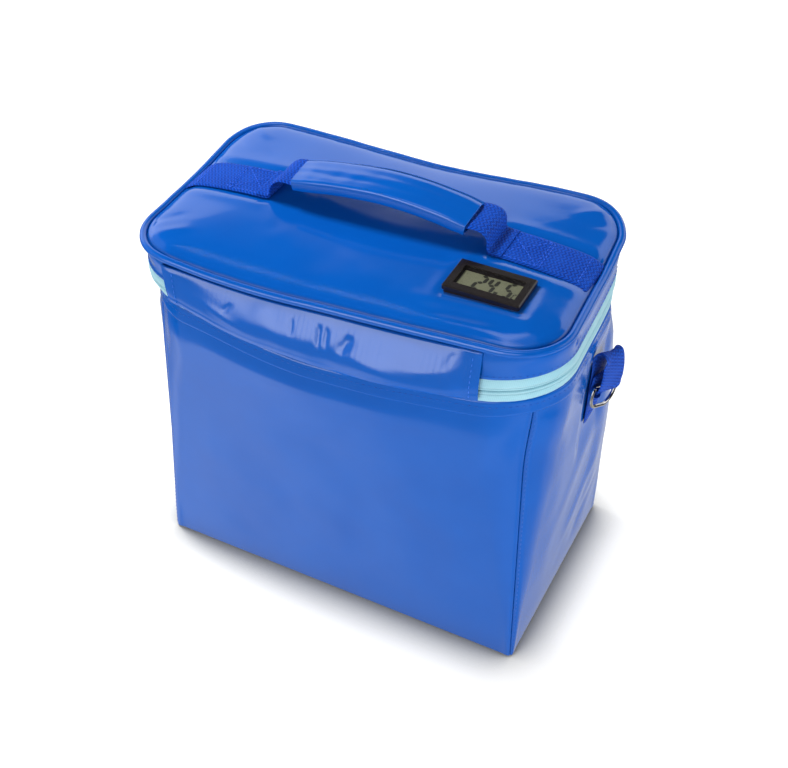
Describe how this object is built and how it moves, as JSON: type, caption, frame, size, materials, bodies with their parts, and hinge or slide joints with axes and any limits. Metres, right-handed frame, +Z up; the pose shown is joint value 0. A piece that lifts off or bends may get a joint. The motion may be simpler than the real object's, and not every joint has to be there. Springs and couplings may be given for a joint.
{
  "type": "vaccine carrier",
  "caption": "Soft insulated vaccine carrier: a foam-lined rectangular box bag with a zipped hinged lid, a padded carrying handle, a thermometer let into the lid and strap rings.",
  "frame": {"origin": "centre of the base, on the surface the carrier stands on", "axes": "+Z up, front (flap side) towards -Y, +X to the user's right when facing the front"},
  "size_m": [0.313, 0.1689, 0.2945],
  "materials": {
    "coated_fabric": "glossy PVC-coated woven fabric, royal blue",
    "webbing": "woven polypropylene webbing, royal blue",
    "zip_tape": "woven polyester zip tape, light aqua",
    "zip_coil": "nylon coil, light aqua",
    "foam": "closed-cell polyethylene foam, white",
    "liner": "welded PVC film, pale grey",
    "board": "polypropylene sheet, grey",
    "black_plastic": "moulded ABS, black, semi gloss",
    "clear_window": "clear acrylic window",
    "lcd": "grey-green liquid crystal panel",
    "pcb": "green circuit board",
    "cell_steel": "nickel plated steel cells",
    "grommet_rubber": "black rubber",
    "slider_metal": "nickel plated zinc",
    "ring_metal": "nickel plated steel wire"
  },
  "bodies": {
    "carrier_body": {"outer_front_panel": "coated_fabric", "outer_back_panel": "coated_fabric", "outer_left_panel": "coated_fabric", "outer_right_panel": "coated_fabric", "outer_base_panel": "coated_fabric", "base_stiffener_board": "board", "foam_front": "foam", "foam_back": "foam", "foam_left": "foam", "foam_right": "foam", "foam_base": "foam", "inner_liner": "liner", "body_hem_band": "coated_fabric", "zip_tape_lower": "zip_tape", "zip_coil_lower": "zip_coil", "hinge_strip_lower": "coated_fabric", "ring_tab_left": "webbing", "ring_tab_right": "webbing"},
    "lid": {"lid_skirt": "coated_fabric", "lid_piping": "coated_fabric", "lid_top_panel": "coated_fabric", "lid_foam": "foam", "lid_liner": "liner", "zip_tape_upper": "zip_tape", "zip_coil_upper": "zip_coil", "hinge_strip_upper": "coated_fabric", "handle_strap_left": "webbing", "handle_strap_right": "webbing", "handle_riser_left": "webbing", "handle_riser_right": "webbing", "thermometer_housing": "black_plastic", "thermometer_window": "clear_window", "lcd_glass": "lcd", "circuit_board": "pcb", "button_cells": "cell_steel", "thermometer_rear_cover": "black_plastic", "probe_grommet": "grommet_rubber"},
    "handle_grip": {"grip_sleeve": "coated_fabric", "grip_foam": "foam", "grip_webbing": "webbing"},
    "flap": {"front_flap": "coated_fabric"},
    "slider_front": {"zip_slider_front": "slider_metal"},
    "slider_rear": {"zip_slider_rear": "slider_metal"},
    "pull_front": {"zip_pull_front": "slider_metal"},
    "pull_rear": {"zip_pull_rear": "slider_metal"},
    "ring_left": {"d_ring_left": "ring_metal"},
    "ring_right": {"d_ring_right": "ring_metal"}
  },
  "joints": [
    {"name": "lid_hinge", "type": "hinge", "parent": "carrier_body", "child": "lid", "pos_m": [0, 0.0806, 0.2329], "axis": [-1, 0, 0], "range_deg": [0, 150]},
    {"name": "handle_lift", "type": "slide", "parent": "lid", "child": "handle_grip", "axis": [0, 0, 1], "range_m": [-0.006, 0.01], "stiffness_N_per_m": 200, "springref_m": 0.0006, "deforming": ["handle_riser_left", "handle_riser_right"]},
    {"name": "flap_hinge", "type": "hinge", "parent": "lid", "child": "flap", "pos_m": [0, -0.0822, 0.2576], "axis": [-1, 0, 0], "range_deg": [0, 140]},
    {"name": "slider_front_run", "type": "slide", "parent": "carrier_body", "child": "slider_front", "axis": [0, -1, 0], "range_m": [0, 0.027]},
    {"name": "slider_rear_run", "type": "slide", "parent": "carrier_body", "child": "slider_rear", "axis": [0, 1, 0], "range_m": [0, 0.027]},
    {"name": "pull_front_swing", "type": "hinge", "parent": "slider_front", "child": "pull_front", "pos_m": [-0.1458, -0.0055, 0.233], "axis": [0, 1, 0], "range_deg": [-5, 160]},
    {"name": "pull_rear_swing", "type": "hinge", "parent": "slider_rear", "child": "pull_rear", "pos_m": [-0.1458, 0.0055, 0.233], "axis": [0, 1, 0], "range_deg": [-5, 160]},
    {"name": "ring_right_swing", "type": "hinge", "parent": "carrier_body", "child": "ring_right", "pos_m": [0.1496, 0.014, 0.177], "axis": [-0.2201, -0.8705, 0.4402], "range_deg": [-8, 120]},
    {"name": "ring_left_swing", "type": "hinge", "parent": "carrier_body", "child": "ring_left", "pos_m": [-0.1496, 0.014, 0.177], "axis": [-0.2201, 0.8705, -0.4402], "range_deg": [-8, 120]}
  ]
}
